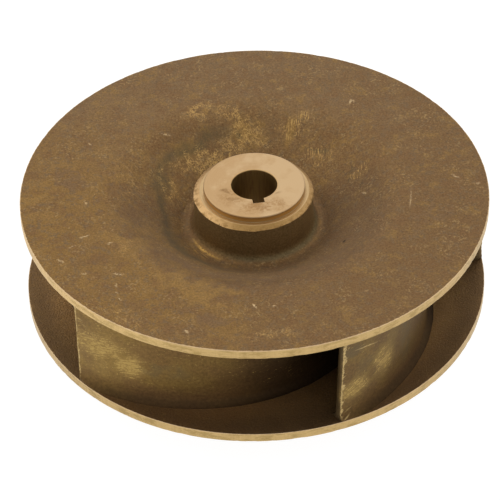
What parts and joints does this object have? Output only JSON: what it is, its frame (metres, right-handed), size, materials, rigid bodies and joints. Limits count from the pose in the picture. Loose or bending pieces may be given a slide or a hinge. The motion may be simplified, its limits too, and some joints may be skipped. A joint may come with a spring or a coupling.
{
  "type": "closed pump impeller",
  "caption": "Closed centrifugal pump impeller: backward-curved vanes between a back disc and a front disc, a keyed hub in a dished back and a turned eye collar.",
  "frame": {"origin": "on the shaft axis, level with the end face of the eye collar that the impeller rests on", "axes": "+Z along the shaft axis towards the drive side, with the keyway pointing along -Y"},
  "size_m": [0.26, 0.26, 0.092],
  "materials": {
    "hub_bronze": "turned hub face over as-cast wall",
    "cast_bronze": "as-cast, browned",
    "vane_bronze": "as-cast, rubbed",
    "turned_bronze": "fine turned"
  },
  "bodies": {
    "root": {"hub_boss": "hub_bronze", "dished_web": "cast_bronze", "back_disc": "cast_bronze", "front_disc": "cast_bronze", "eye_throat": "cast_bronze", "eye_collar": "turned_bronze", "vane_1": "vane_bronze", "vane_2": "vane_bronze", "vane_3": "vane_bronze", "vane_4": "vane_bronze", "vane_5": "vane_bronze"}
  },
  "joints": []
}
